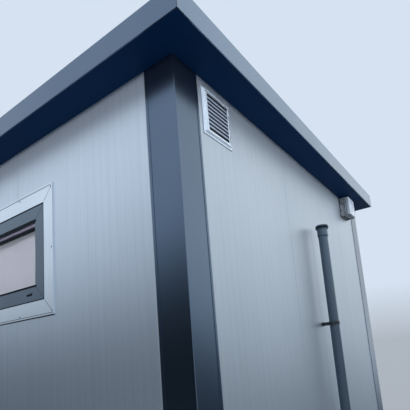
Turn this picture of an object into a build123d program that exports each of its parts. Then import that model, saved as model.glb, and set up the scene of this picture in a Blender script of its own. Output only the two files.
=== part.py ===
from build123d import *
import os

os.makedirs("parts", exist_ok=True)

# Portable site cabin, in millimetres. X runs along the long front wall, Y across the
# cabin from front to back, Z up. The origin is at the middle of the footprint, on the ground.

# Main sizes of the cabin
cabin_length = 6000  # over the outside faces of the end walls
cabin_width = 3000  # over the outside faces of the long walls
soffit_height = 2725  # ground to the underside of the eaves
wall_thickness = 80  # insulated panel, steel both sides

# Base frame and floor
rail_height = 150
rail_flange_width = 60
rail_web_thickness = 6
rail_inset_depth = 10  # rail face behind the wall face
joist_width = 50
joist_height = 100
joist_bays = 6
floor_thickness = 60

# Roof and eaves
end_overhang_width = 180
front_overhang_width = 180
fascia_height = 122
fascia_thickness = 2
fascia_return_width = 60
fascia_lip_width = 6
soffit_thickness = 12
roof_deck_thickness = 56
roof_sheet_thickness = 3
roof_rib_height = 30
roof_rib_width = 70
roof_rib_angle = 60  # degrees between a rib's side and the flat of the sheet
roof_rib_pitch = 333
roof_rib_end_gap = 30  # rib ends behind the eaves on every side

# Folded corner trims
trim_width = 180
trim_thickness = 2
trim_hem_width = 14
trim_hem_thickness = 4
trim_bend_radius = 3

# Windows
window_height = 600
window_corner_distance = 1040  # cabin corner to the near edge of the frame
window_flashing_gap = 130  # plain wall between the flashings of a window and the door
opening_head_distance = 417  # soffit down to the heads of the windows and the door
frame_member_width = 105
frame_depth = 70
bead_slope_width = 6
glass_setback_depth = 22
glass_thickness = 6
glass_rebate_depth = 12
glass_edge_gap = 0.5
blind_thickness = 4
blind_edge_gap = 3

# Flashing round the windows and the door
flashing_width = 90
flashing_lap_width = 5
flashing_thickness = 3
flashing_hem_width = 8
flashing_hem_height = 8

# Door
door_width = 900
door_member_width = 60
door_stop_width = 15
leaf_thickness = 45
leaf_gap = 3
hinge_count = 3
hinge_length = 100
hinge_plate_width = 44
hinge_plate_thickness = 3
hinge_barrel_radius = 8
hinge_end_distance = 250  # leaf end to the middle of the outer hinges
handle_height = 1000  # floor to the lever
handle_edge_distance = 55
handle_plate_width = 42
handle_plate_height = 220
handle_plate_thickness = 8
handle_lever_length = 120
handle_lever_radius = 9
handle_neck_length = 45

# Louvred vent in the right end wall
vent_corner_distance = 213
vent_soffit_gap = 49
vent_width = 260
vent_height = 260
vent_clear_width = 190
vent_clear_height = 206
vent_flange_thickness = 3
vent_border_width = 9  # flat edge of the flange round the raised face
vent_face_height = 13  # raised face in front of the wall
vent_bevel_angle = 40  # degrees that the raised face's sides lean in
vent_sleeve_thickness = 2
slot_count = 9  # open slots, with a blade between each pair
blade_lip_height = 10
blade_thickness = 2
blade_depth = 17
blade_rise_height = 15

# Round pipe on the right end wall
pipe_diameter = 68
pipe_wall_thickness = 2.5
pipe_corner_distance = 1584
pipe_wall_distance = 84  # wall face to the pipe's centre line
pipe_top_distance = 505  # soffit down to the mouth of the socket
pipe_foot_height = 60
socket_length = 87
socket_wall_thickness = 3.5
socket_clearance = 0.3
socket_step_height = 8
ring_diameter = 92
ring_height = 24
ring_wall_thickness = 3
mouth_lip_height = 4
seal_bevel_width = 2.5
clip_soffit_distance = 1243  # soffit down to the upper clip
clip_spacing = 1000
clip_count = 2
clip_height = 24
clip_thickness = 4
clip_clearance = 0.3
clip_ear_length = 16
clip_ear_thickness = 12
clip_leg_width = 16
clip_plate_width = 40
clip_plate_height = 28
clip_plate_thickness = 4

# Bulkhead light under the right eaves
light_corner_distance = 344  # back corner to the near side of the light
light_width = 190
light_height = 180
light_depth = 90
light_soffit_gap = 10
light_gasket_thickness = 4
light_gasket_inset_width = 3
light_body_depth = 50
light_corner_radius = 10
light_body_bevel_width = 2
light_cover_inset_width = 3
light_cover_angle = 3  # degrees that the cover's sides lean in
light_cover_bevel_width = 4

# Lines that the pieces share, worked out from the sizes above
half_length = cabin_length / 2
back_overhang_width = trim_hem_thickness + fascia_thickness
footprint_width = front_overhang_width + cabin_width + back_overhang_width
eaves_front = -footprint_width / 2
eaves_back = footprint_width / 2
eaves_end = half_length + end_overhang_width
front_face = eaves_front + front_overhang_width
back_face = front_face + cabin_width
front_inside = front_face + wall_thickness
back_inside = back_face - wall_thickness
end_inside = half_length - wall_thickness
wall_bottom = rail_height
wall_top = soffit_height + soffit_thickness
floor_top = rail_height + floor_thickness
opening_head = soffit_height - opening_head_distance
fascia_bottom = soffit_height - fascia_thickness
fascia_top = fascia_bottom + fascia_height
deck_top = wall_top + roof_deck_thickness
window_sill = opening_head - window_height
window_right = half_length - window_corner_distance
window_left = door_width / 2 + 2 * flashing_width + window_flashing_gap
window_width = window_right - window_left
window_centre = (window_left + window_right) / 2


def box_between(low, high):
    """Add a rectangular block between two opposite corners."""
    sizes = [top - bottom for bottom, top in zip(low, high)]
    middle = [(bottom + top) / 2 for bottom, top in zip(low, high)]
    with Locations(tuple(middle)):
        Box(*sizes)


# Base rails, two steel channels along the long sides with their webs outwards
rail_front = front_face + rail_inset_depth
rail_back = back_face - rail_inset_depth
rail_end = half_length - rail_inset_depth
with BuildPart() as base_rails:
    for web_face, inward in ((rail_front, 1), (rail_back, -1)):
        with BuildSketch(Plane.YZ.offset(-rail_end)):
            with BuildLine():
                Polyline(
                    (web_face, 0),
                    (web_face + inward * rail_flange_width, 0),
                    (web_face + inward * rail_flange_width, rail_web_thickness),
                    (web_face + inward * rail_web_thickness, rail_web_thickness),
                    (web_face + inward * rail_web_thickness, rail_height - rail_web_thickness),
                    (web_face + inward * rail_flange_width, rail_height - rail_web_thickness),
                    (web_face + inward * rail_flange_width, rail_height),
                    (web_face, rail_height),
                    close=True,
                )
            make_face()
        extrude(amount=2 * rail_end)
base_rails.part.label = "base_rails"
export_step(base_rails.part, "parts/base_rails.step")

# Base crossmembers, a beam closing each end and joists between the rails
joist_front = rail_front + rail_flange_width
joist_back = rail_back - rail_flange_width
with BuildPart() as base_crossmembers:
    for side in (-1, 1):
        beam_faces = sorted((side * rail_end, side * (rail_end - rail_flange_width)))
        box_between((beam_faces[0], joist_front, 0), (beam_faces[1], joist_back, rail_height))
    for bay in range(1, joist_bays):
        joist_x = -half_length + bay * cabin_length / joist_bays
        box_between(
            (joist_x - joist_width / 2, joist_front, rail_height - joist_height),
            (joist_x + joist_width / 2, joist_back, rail_height),
        )
base_crossmembers.part.label = "base_crossmembers"
export_step(base_crossmembers.part, "parts/base_crossmembers.step")

# Floor deck, laid on the base between the walls
with BuildPart() as floor_deck:
    box_between((-end_inside, front_inside, rail_height), (end_inside, back_inside, floor_top))
floor_deck.part.label = "floor_deck"
export_step(floor_deck.part, "parts/floor_deck.step")

# Front wall, panels beside, over and under its three openings
with BuildPart() as front_wall_piers:
    for side in (-1, 1):
        for near, far in ((door_width / 2, window_left), (window_right, half_length)):
            pier = sorted((side * near, side * far))
            box_between((pier[0], front_face, wall_bottom), (pier[1], front_inside, opening_head))
front_wall_piers.part.label = "front_wall_piers"
export_step(front_wall_piers.part, "parts/front_wall_piers.step")

with BuildPart() as front_wall_header:
    box_between((-half_length, front_face, opening_head), (half_length, front_inside, wall_top))
front_wall_header.part.label = "front_wall_header"
export_step(front_wall_header.part, "parts/front_wall_header.step")

with BuildPart() as front_wall_sills:
    for side in (-1, 1):
        sill = sorted((side * window_left, side * window_right))
        box_between((sill[0], front_face, wall_bottom), (sill[1], front_inside, window_sill))
front_wall_sills.part.label = "front_wall_sills"
export_step(front_wall_sills.part, "parts/front_wall_sills.step")

# Back wall and left end wall, plain panels
with BuildPart() as back_wall:
    box_between((-half_length, back_inside, wall_bottom), (half_length, back_face, wall_top))
back_wall.part.label = "back_wall"
export_step(back_wall.part, "parts/back_wall.step")

with BuildPart() as left_wall:
    box_between((-half_length, front_inside, wall_bottom), (-end_inside, back_inside, wall_top))
left_wall.part.label = "left_wall"
export_step(left_wall.part, "parts/left_wall.step")

# Right end wall, panels round the vent's hole
vent_middle_y = front_face + vent_corner_distance + vent_width / 2
vent_middle_z = soffit_height - vent_soffit_gap - vent_height / 2
sleeve_width = vent_clear_width + 2 * vent_sleeve_thickness
sleeve_height = vent_clear_height + 2 * vent_sleeve_thickness
hole_front = vent_middle_y - sleeve_width / 2
hole_back = vent_middle_y + sleeve_width / 2
hole_bottom = vent_middle_z - sleeve_height / 2
hole_top = vent_middle_z + sleeve_height / 2
with BuildPart() as right_wall:
    box_between((end_inside, hole_back, wall_bottom), (half_length, back_inside, wall_top))
right_wall.part.label = "right_wall"
export_step(right_wall.part, "parts/right_wall.step")

with BuildPart() as right_wall_corner_panel:
    box_between((end_inside, front_inside, wall_bottom), (half_length, hole_front, wall_top))
right_wall_corner_panel.part.label = "right_wall_corner_panel"
export_step(right_wall_corner_panel.part, "parts/right_wall_corner_panel.step")

with BuildPart() as right_wall_below_vent:
    box_between((end_inside, hole_front, wall_bottom), (half_length, hole_back, hole_bottom))
right_wall_below_vent.part.label = "right_wall_below_vent"
export_step(right_wall_below_vent.part, "parts/right_wall_below_vent.step")

with BuildPart() as right_wall_above_vent:
    box_between((end_inside, hole_front, hole_top), (half_length, hole_back, wall_top))
right_wall_above_vent.part.label = "right_wall_above_vent"
export_step(right_wall_above_vent.part, "parts/right_wall_above_vent.step")

# Corner trims, folded sheet with a rounded arris and a hemmed edge on each face
for side_name, side in (("left", -1), ("right", 1)):
    for row_name, corner_y, inward in (("front", front_face, 1), ("back", back_face, -1)):
        corner_x = side * half_length
        with BuildPart() as corner_trim:
            with BuildSketch(Plane.XY.offset(wall_bottom)) as trim_section:
                with BuildLine():
                    outline = (
                        (0, 0),
                        (trim_width, 0),
                        (trim_width, -trim_hem_thickness),
                        (trim_width - trim_hem_width, -trim_hem_thickness),
                        (trim_width - trim_hem_width, -trim_thickness),
                        (-trim_thickness, -trim_thickness),
                        (-trim_thickness, trim_width - trim_hem_width),
                        (-trim_hem_thickness, trim_width - trim_hem_width),
                        (-trim_hem_thickness, trim_width),
                        (0, trim_width),
                    )
                    Polyline(
                        [(corner_x - side * a, corner_y + inward * b) for a, b in outline],
                        close=True,
                    )
                make_face()
                arris = (corner_x + side * trim_thickness, corner_y - inward * trim_thickness, 0)
                fillet(trim_section.vertices().sort_by_distance(arris)[0], trim_bend_radius)
            extrude(amount=soffit_height - wall_bottom)
        corner_trim.part.label = f"corner_trim_{row_name}_{side_name}"
        export_step(corner_trim.part, f"parts/corner_trim_{row_name}_{side_name}.step")

# Roof deck, the insulated slab that sits on the walls and carries the eaves
deck_end = eaves_end - fascia_thickness
deck_front = eaves_front + fascia_thickness
deck_back = eaves_back - fascia_thickness
with BuildPart() as roof_deck:
    box_between((-deck_end, deck_front, wall_top), (deck_end, deck_back, deck_top))
roof_deck.part.label = "roof_deck"
export_step(roof_deck.part, "parts/roof_deck.step")

# Roof sheet, flat steel with trapezoidal ribs that run from front to back
rib_start = deck_front + roof_rib_end_gap
rib_run = deck_back - deck_front - 2 * roof_rib_end_gap
rib_count = int((2 * deck_end - roof_rib_width - 2 * roof_rib_end_gap) // roof_rib_pitch) + 1
with BuildPart() as roof_sheet:
    box_between(
        (-deck_end, deck_front, deck_top),
        (deck_end, deck_back, deck_top + roof_sheet_thickness),
    )
    rib_foot = deck_top + roof_sheet_thickness
    with BuildSketch(Plane(origin=(0, rib_start, rib_foot), x_dir=(-1, 0, 0), z_dir=(0, 1, 0))):
        with GridLocations(roof_rib_pitch, 0, rib_count, 1):
            Trapezoid(
                roof_rib_width, roof_rib_height, roof_rib_angle, align=(Align.CENTER, Align.MIN)
            )
    extrude(amount=rib_run)
roof_sheet.part.label = "roof_sheet"
export_step(roof_sheet.part, "parts/roof_sheet.step")

# Soffit boards, mitred at the two front corners
soffit_outlines = {
    "soffit_front": (
        (-half_length, front_face),
        (half_length, front_face),
        (deck_end, deck_front),
        (-deck_end, deck_front),
    ),
    "soffit_right": (
        (half_length, front_face),
        (half_length, deck_back),
        (deck_end, deck_back),
        (deck_end, deck_front),
    ),
    "soffit_left": (
        (-half_length, front_face),
        (-half_length, deck_back),
        (-deck_end, deck_back),
        (-deck_end, deck_front),
    ),
}
for soffit_name, outline in soffit_outlines.items():
    with BuildPart() as soffit:
        with BuildSketch(Plane.XY.offset(soffit_height)):
            with BuildLine():
                Polyline(list(outline), close=True)
            make_face()
        extrude(amount=soffit_thickness)
    soffit.part.label = soffit_name
    export_step(soffit.part, f"parts/{soffit_name}.step")

# Fascias, one folded length of sheet along each edge of the roof, mitred at the corners.
# The back one has no lip, because the roof ends flush with the back wall there.
fascia_runs = {
    "fascia_front": ((eaves_end, eaves_front), (-eaves_end, eaves_front), (0, -1), True),
    "fascia_left": ((-eaves_end, eaves_front), (-eaves_end, eaves_back), (-1, 0), True),
    "fascia_back": ((-eaves_end, eaves_back), (eaves_end, eaves_back), (0, 1), False),
    "fascia_right": ((eaves_end, eaves_back), (eaves_end, eaves_front), (1, 0), True),
}
for fascia_name, (start, end, outward, has_lip) in fascia_runs.items():
    face_and_return = [
        (0, fascia_bottom),
        (0, fascia_top),
        (-fascia_return_width, fascia_top),
        (-fascia_return_width, fascia_top - fascia_thickness),
        (-fascia_thickness, fascia_top - fascia_thickness),
    ]
    lip = [
        (-fascia_thickness, soffit_height),
        (-fascia_lip_width, soffit_height),
        (-fascia_lip_width, fascia_bottom),
    ]
    foot = lip if has_lip else [(-fascia_thickness, fascia_bottom)]
    start_point = Vector(*start, 0)
    end_point = Vector(*end, 0)
    along = (end_point - start_point).normalized()
    outwards = Vector(*outward, 0)
    with BuildPart() as fascia:
        with BuildSketch(Plane(origin=start_point, x_dir=outwards, z_dir=along)):
            with BuildLine():
                Polyline(face_and_return + foot, close=True)
            make_face()
        extrude(amount=(end_point - start_point).length)
        split(bisect_by=Plane(origin=start_point, z_dir=outwards + along), keep=Keep.TOP)
        split(bisect_by=Plane(origin=end_point, z_dir=outwards - along), keep=Keep.TOP)
    fascia.part.label = fascia_name
    export_step(fascia.part, f"parts/{fascia_name}.step")


def front_surround(middle_x, bottom, width, height, section, closed=True):
    """Sweep a section round a rectangle on the front wall's face, mitred at its corners.

    A section point is (inwards from the rectangle's edge, back from the wall's face).
    An open surround has no length along the bottom.
    """
    left = middle_x - width / 2
    right = middle_x + width / 2
    top = bottom + height
    corners = [(right, bottom), (right, top), (left, top), (left, bottom)]
    if closed:
        corners = [(middle_x, bottom)] + corners
        section_plane = Plane(origin=(middle_x, front_face, bottom), x_dir=(0, 0, 1), z_dir=(1, 0, 0))
    else:
        section_plane = Plane(origin=(right, front_face, bottom), x_dir=(-1, 0, 0), z_dir=(0, 0, 1))
    with BuildPart() as surround:
        with BuildLine() as route:
            Polyline([(x, front_face, z) for x, z in corners], close=closed)
        with BuildSketch(section_plane):
            with BuildLine():
                Polyline([(inwards, -back) for inwards, back in section], close=True)
            make_face()
        sweep(path=route.wires()[0], transition=Transition.RIGHT)
    return surround


# Windows, a deep flat-faced frame with a sloping bead, one pane and a pale blind behind it
frame_section = (
    (0, 0),
    (frame_member_width - bead_slope_width, 0),
    (frame_member_width, glass_setback_depth),
    (frame_member_width - glass_rebate_depth, glass_setback_depth),
    (frame_member_width - glass_rebate_depth, glass_setback_depth + glass_thickness),
    (frame_member_width, glass_setback_depth + glass_thickness),
    (frame_member_width, frame_depth),
    (0, frame_depth),
)
flashing_section = (
    (0, 0),
    (0, -flashing_hem_height),
    (flashing_hem_width, -flashing_hem_height),
    (flashing_hem_width, -flashing_thickness),
    (flashing_width + flashing_lap_width, -flashing_thickness),
    (flashing_width + flashing_lap_width, 0),
)
pane_inset = frame_member_width - glass_rebate_depth + glass_edge_gap
for side_name, side in (("left", -1), ("right", 1)):
    middle_x = side * window_centre
    window_frame = front_surround(middle_x, window_sill, window_width, window_height, frame_section)
    window_frame.part.label = f"window_frame_{side_name}"
    export_step(window_frame.part, f"parts/window_frame_{side_name}.step")

    pane_half_width = window_width / 2 - pane_inset
    pane_face = front_face + glass_setback_depth
    with BuildPart() as window_glass:
        box_between(
            (middle_x - pane_half_width, pane_face, window_sill + pane_inset),
            (middle_x + pane_half_width, pane_face + glass_thickness, opening_head - pane_inset),
        )
    window_glass.part.label = f"window_glass_{side_name}"
    export_step(window_glass.part, f"parts/window_glass_{side_name}.step")

    blind_half_width = window_width / 2 - blind_edge_gap
    blind_face = front_face + frame_depth
    with BuildPart() as window_blind:
        box_between(
            (middle_x - blind_half_width, blind_face, window_sill + blind_edge_gap),
            (middle_x + blind_half_width, blind_face + blind_thickness, opening_head - blind_edge_gap),
        )
    window_blind.part.label = f"window_blind_{side_name}"
    export_step(window_blind.part, f"parts/window_blind_{side_name}.step")

    window_flashing = front_surround(
        middle_x,
        window_sill - flashing_width,
        window_width + 2 * flashing_width,
        window_height + 2 * flashing_width,
        flashing_section,
    )
    window_flashing.part.label = f"window_flashing_{side_name}"
    export_step(window_flashing.part, f"parts/window_flashing_{side_name}.step")

# Door, closed against the stops of its frame
door_height = opening_head - wall_bottom
door_frame_section = (
    (0, 0),
    (door_member_width, 0),
    (door_member_width, leaf_thickness),
    (door_member_width + door_stop_width, leaf_thickness),
    (door_member_width + door_stop_width, frame_depth),
    (0, frame_depth),
)
door_frame = front_surround(0, wall_bottom, door_width, door_height, door_frame_section)
door_frame.part.label = "door_frame"
export_step(door_frame.part, "parts/door_frame.step")

leaf_half_width = door_width / 2 - door_member_width - leaf_gap
leaf_bottom = wall_bottom + door_member_width + leaf_gap
leaf_top = opening_head - door_member_width - leaf_gap
with BuildPart() as door_leaf:
    box_between(
        (-leaf_half_width, front_face, leaf_bottom),
        (leaf_half_width, front_face + leaf_thickness, leaf_top),
    )
door_leaf.part.label = "door_leaf"
export_step(door_leaf.part, "parts/door_leaf.step")

door_flashing = front_surround(
    0,
    wall_bottom,
    door_width + 2 * flashing_width,
    door_height + flashing_width,
    flashing_section,
    closed=False,
)
door_flashing.part.label = "door_flashing"
export_step(door_flashing.part, "parts/door_flashing.step")

# Door hinges, a plate across the joint of leaf and frame with its barrel in front
hinge_x = -leaf_half_width - leaf_gap / 2
hinge_face = front_face - hinge_plate_thickness
hinge_run = leaf_top - leaf_bottom - 2 * hinge_end_distance
with BuildPart() as door_hinges:
    for step in range(hinge_count):
        hinge_z = leaf_bottom + hinge_end_distance + step * hinge_run / (hinge_count - 1)
        box_between(
            (hinge_x - hinge_plate_width / 2, hinge_face, hinge_z - hinge_length / 2),
            (hinge_x + hinge_plate_width / 2, front_face, hinge_z + hinge_length / 2),
        )
        with Locations((hinge_x, hinge_face, hinge_z)):
            Cylinder(hinge_barrel_radius, hinge_length)
    split(bisect_by=Plane(origin=(0, front_face, 0), z_dir=(0, -1, 0)), keep=Keep.TOP)
door_hinges.part.label = "door_hinges"
export_step(door_hinges.part, "parts/door_hinges.step")

# Door handle, a lever on a long plate
handle_x = leaf_half_width - handle_edge_distance
handle_z = floor_top + handle_height
plate_face = front_face - handle_plate_thickness
with BuildPart() as door_handle:
    with BuildSketch(Plane.XZ.offset(-front_face)):
        with Locations((handle_x, handle_z)):
            RectangleRounded(handle_plate_width, handle_plate_height, handle_plate_width / 4)
    extrude(amount=handle_plate_thickness)
    with BuildLine() as lever_route:
        FilletPolyline(
            (handle_x, plate_face, handle_z),
            (handle_x, plate_face - handle_neck_length, handle_z),
            (handle_x - handle_lever_length, plate_face - handle_neck_length, handle_z),
            radius=2 * handle_lever_radius,
        )
    with BuildSketch(Plane(origin=(handle_x, plate_face, handle_z), z_dir=(0, -1, 0))):
        Circle(handle_lever_radius)
    sweep(path=lever_route.wires()[0])
door_handle.part.label = "door_handle"
export_step(door_handle.part, "parts/door_handle.step")

# Vent frame, a thin flange on the wall, a raised face with sloping sides and a sleeve
# that lines the hole through the wall
vent_plane = Plane(
    origin=(half_length, vent_middle_y, vent_middle_z), x_dir=(0, 1, 0), z_dir=(1, 0, 0)
)
with BuildPart() as vent_frame:
    with BuildSketch(vent_plane):
        Rectangle(vent_width, vent_height)
    extrude(amount=vent_flange_thickness)
    with BuildSketch(vent_plane.offset(vent_flange_thickness)):
        Rectangle(vent_width - 2 * vent_border_width, vent_height - 2 * vent_border_width)
    extrude(amount=vent_face_height - vent_flange_thickness, taper=vent_bevel_angle)
    with BuildSketch(vent_plane):
        Rectangle(sleeve_width, sleeve_height)
    extrude(amount=-wall_thickness)
    with BuildSketch(vent_plane.offset(vent_face_height)):
        Rectangle(vent_clear_width, vent_clear_height)
    extrude(amount=-(wall_thickness + vent_face_height), mode=Mode.SUBTRACT)
vent_frame.part.label = "vent_frame"
export_step(vent_frame.part, "parts/vent_frame.step")

# Vent blades, each an upright lip at the face with a web that rises behind it
blade_pitch = vent_clear_height / slot_count
with BuildPart() as vent_blades:
    blade_plane = Plane(
        origin=(half_length, vent_middle_y - vent_clear_width / 2, vent_middle_z - vent_clear_height / 2),
        x_dir=(-1, 0, 0),
        z_dir=(0, 1, 0),
    )
    with BuildSketch(blade_plane):
        for blade in range(1, slot_count):
            foot = blade * blade_pitch - blade_lip_height / 2
            with BuildLine():
                Polyline(
                    (-vent_face_height, foot),
                    (-vent_face_height, foot + blade_lip_height),
                    (blade_depth, foot + blade_lip_height + blade_rise_height),
                    (blade_depth, foot + blade_lip_height + blade_rise_height - blade_thickness),
                    (blade_thickness - vent_face_height, foot + blade_lip_height - blade_thickness),
                    (blade_thickness - vent_face_height, foot),
                    close=True,
                )
            make_face()
    extrude(amount=vent_clear_width)
vent_blades.part.label = "vent_blades"
export_step(vent_blades.part, "parts/vent_blades.step")

# Pipe, a round tube with a ring-seal socket at its top, turned about its centre line
pipe_x = half_length + pipe_wall_distance
pipe_y = front_face + pipe_corner_distance
pipe_top = soffit_height - pipe_top_distance
pipe_radius = pipe_diameter / 2
pipe_bore = pipe_radius - pipe_wall_thickness
socket_bore = pipe_radius + socket_clearance
socket_radius = socket_bore + socket_wall_thickness
socket_foot = pipe_top - socket_length
ring_radius = ring_diameter / 2
ring_foot = pipe_top - mouth_lip_height - ring_height
groove_radius = ring_radius - ring_wall_thickness
pipe_axis = Axis((pipe_x, pipe_y, 0), (0, 0, 1))
pipe_plane = Plane(origin=(pipe_x, pipe_y, 0), x_dir=(0, 1, 0), z_dir=(1, 0, 0))
with BuildPart() as vent_pipe:
    with BuildSketch(pipe_plane):
        with BuildLine():
            Polyline(
                (pipe_bore, pipe_foot_height),
                (pipe_radius, pipe_foot_height),
                (pipe_radius, socket_foot - socket_step_height),
                (socket_radius, socket_foot),
                (socket_radius, ring_foot - socket_step_height),
                (ring_radius, ring_foot),
                (ring_radius, ring_foot + ring_height),
                (socket_radius, pipe_top),
                (socket_bore, pipe_top),
                (socket_bore, ring_foot + ring_height - ring_wall_thickness),
                (groove_radius, ring_foot + ring_height - ring_wall_thickness),
                (groove_radius, ring_foot + ring_wall_thickness),
                (socket_bore, ring_foot + ring_wall_thickness),
                (socket_bore, socket_foot),
                (pipe_bore, socket_foot),
                close=True,
            )
        make_face()
    revolve(axis=pipe_axis)
vent_pipe.part.label = "vent_pipe"
export_step(vent_pipe.part, "parts/vent_pipe.step")

# Rubber ring in the groove of the socket
with BuildPart() as pipe_seal:
    with BuildSketch(pipe_plane) as seal_section:
        with Locations(((socket_bore + groove_radius) / 2, ring_foot + ring_height / 2)):
            Rectangle(groove_radius - socket_bore, ring_height - 2 * ring_wall_thickness)
        chamfer(seal_section.vertices(), seal_bevel_width)
    revolve(axis=pipe_axis)
pipe_seal.part.label = "pipe_seal"
export_step(pipe_seal.part, "parts/pipe_seal.step")

# Pipe clips, a ring in two halves with ears, a leg and a plate on the wall
clip_bore = pipe_radius + clip_clearance
clip_radius = clip_bore + clip_thickness
with BuildPart() as pipe_clips:
    for step in range(clip_count):
        clip_z = soffit_height - clip_soffit_distance - step * clip_spacing
        clip_plane = Plane.XY.offset(clip_z - clip_height / 2)
        with BuildSketch(clip_plane):
            with Locations((pipe_x, pipe_y)):
                Circle(clip_radius)
                Rectangle(clip_ear_thickness, 2 * (clip_radius + clip_ear_length))
            with Locations(((half_length + pipe_x) / 2, pipe_y)):
                Rectangle(pipe_wall_distance, clip_leg_width)
            with Locations((pipe_x, pipe_y)):
                Circle(clip_bore, mode=Mode.SUBTRACT)
        extrude(amount=clip_height)
        with BuildSketch(Plane.YZ.offset(half_length)):
            with Locations((pipe_y, clip_z)):
                Rectangle(clip_plate_width, clip_plate_height)
        extrude(amount=clip_plate_thickness)
pipe_clips.part.label = "pipe_clips"
export_step(pipe_clips.part, "parts/pipe_clips.step")

# Bulkhead light, a box body on a thin gasket and a lid that leans in to a bevelled front
light_middle_y = back_face - light_corner_distance - light_width / 2
light_middle_z = soffit_height - light_soffit_gap - light_height / 2
light_plane = Plane(
    origin=(half_length, light_middle_y, light_middle_z), x_dir=(0, 1, 0), z_dir=(1, 0, 0)
)
with BuildPart() as light_base:
    with BuildSketch(light_plane):
        RectangleRounded(
            light_width - 2 * light_gasket_inset_width,
            light_height - 2 * light_gasket_inset_width,
            light_corner_radius - light_gasket_inset_width,
        )
    extrude(amount=light_gasket_thickness)
    with BuildSketch(light_plane.offset(light_gasket_thickness)):
        RectangleRounded(light_width, light_height, light_corner_radius)
    extrude(amount=light_body_depth - light_gasket_thickness)
    chamfer(light_base.faces().sort_by(Axis.X)[-1].edges(), light_body_bevel_width)
light_base.part.label = "light_base"
export_step(light_base.part, "parts/light_base.step")

with BuildPart() as light_cover:
    with BuildSketch(light_plane.offset(light_body_depth)):
        RectangleRounded(
            light_width - 2 * light_cover_inset_width,
            light_height - 2 * light_cover_inset_width,
            light_corner_radius - light_cover_inset_width,
        )
    extrude(amount=light_depth - light_body_depth, taper=light_cover_angle)
    chamfer(light_cover.faces().sort_by(Axis.X)[-1].edges(), light_cover_bevel_width)
light_cover.part.label = "light_cover"
export_step(light_cover.part, "parts/light_cover.step")
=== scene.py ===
"""Looks of a portable site cabin: silver lined panels, dark folded trims, window, vent, pipe and light."""

import logging
import math
from dataclasses import dataclass
from enum import Enum

import bmesh
import bpy
from mathutils import Matrix, Vector


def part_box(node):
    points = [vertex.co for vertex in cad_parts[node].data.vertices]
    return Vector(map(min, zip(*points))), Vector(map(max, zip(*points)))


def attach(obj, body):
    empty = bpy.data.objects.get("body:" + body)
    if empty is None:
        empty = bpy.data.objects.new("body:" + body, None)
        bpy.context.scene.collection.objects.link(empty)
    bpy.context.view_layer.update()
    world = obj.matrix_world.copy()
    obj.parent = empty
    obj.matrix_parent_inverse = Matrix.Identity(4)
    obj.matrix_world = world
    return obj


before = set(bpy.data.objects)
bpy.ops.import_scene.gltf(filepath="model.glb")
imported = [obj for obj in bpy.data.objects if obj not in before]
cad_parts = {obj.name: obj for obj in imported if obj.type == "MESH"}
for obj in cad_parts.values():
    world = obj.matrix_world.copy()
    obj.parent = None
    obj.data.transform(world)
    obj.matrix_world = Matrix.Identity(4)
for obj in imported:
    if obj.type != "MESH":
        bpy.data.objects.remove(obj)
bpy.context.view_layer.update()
LOG = logging.getLogger("site_cabin")
MM = 0.001
# How deep a detail is sunk into what it sits on, so that no gap shows under it
SUNK = 1 * MM
# Faces across a softened edge, and the bend at which smooth shading breaks
EDGE_ROWS = 2
SHARP_BEND = math.radians(35)
# Where in the noise a change of tone, or one of gloss, starts and ends
TONE_SPAN = {"From Min": 0.35, "From Max": 0.7}
GLOSS_SPAN = {"From Min": 0.3, "From Max": 0.7}
# The share of metal from which a finish has no IOR of its own
METAL_FROM = 0.5
# What can feed a node's input
Source = bpy.types.Node | bpy.types.NodeSocket


class Run(Enum):
    """The level direction that a wall runs in, as the index of its axis."""

    ALONG_X = 0
    ALONG_Y = 1


def linear(code: str) -> tuple[float, float, float, float]:
    """Turn an sRGB hex colour into linear values.

    Args:
        code: The colour, such as "#8090A0".

    Returns:
        Red, green and blue, linear, and 1 for opaque.
    """
    shown = [int(code[i : i + 2], 16) / 255 for i in (1, 3, 5)]
    red, green, blue = (c / 12.92 if c <= 0.04045 else ((c + 0.055) / 1.055) ** 2.4 for c in shown)
    return red, green, blue, 1.0


def add_node(
    tree: bpy.types.NodeTree, kind: str, settings: dict | None = None, links: dict | None = None
) -> bpy.types.Node:
    """Add a shader node with its settings and links.

    Args:
        tree: The node tree.
        kind: The node's type name, less the ShaderNode in front.
        settings: Values by property name, or by input name or number.
        links: By input name or number, an output socket, or a node for its first output.

    Returns:
        The node.
    """
    node = tree.nodes.new("ShaderNode" + kind)
    for key, value in (settings or {}).items():
        if isinstance(key, str) and key in node.bl_rna.properties:
            setattr(node, key, value)
        else:
            node.inputs[key].default_value = value
    for key, source in (links or {}).items():
        tree.links.new(source.outputs[0] if isinstance(source, bpy.types.Node) else source, node.inputs[key])
    return node


def empty_material(name: str) -> bpy.types.Material:
    """Make a material with no nodes.

    Args:
        name: The material's name.

    Returns:
        The material.
    """
    made = bpy.data.materials.new(name)
    made.use_nodes = True
    made.node_tree.nodes.clear()
    return made


def finished_mesh(shape: bmesh.types.BMesh, name: str, material: bpy.types.Material) -> bpy.types.Mesh:
    """Turn a bmesh into a mesh, and free it.

    Blender's operators leave corners and faces in an order that changes from run to run, so it is fixed here.

    Args:
        shape: The bmesh.
        name: The mesh's name.
        material: What it is made of.

    Returns:
        The mesh.
    """
    spots = ((shape.verts, lambda vert: vert.co[:]), (shape.faces, lambda face: face.calc_center_median()[:]))
    for parts, spot in spots:
        rank = {part: place for place, part in enumerate(sorted(parts, key=spot))}
        parts.sort(key=rank.get)
    data = bpy.data.meshes.new(name)
    shape.to_mesh(data)
    shape.free()
    data.materials.append(material)
    return data


def add_object(name: str, data: bpy.types.ID) -> bpy.types.Object:
    """Put an object in the scene.

    Args:
        name: The object's name.
        data: Its mesh, lamp or camera.

    Returns:
        The object, at the origin.
    """
    made = bpy.data.objects.new(name, data)
    bpy.context.scene.collection.objects.link(made)
    return made


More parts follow.
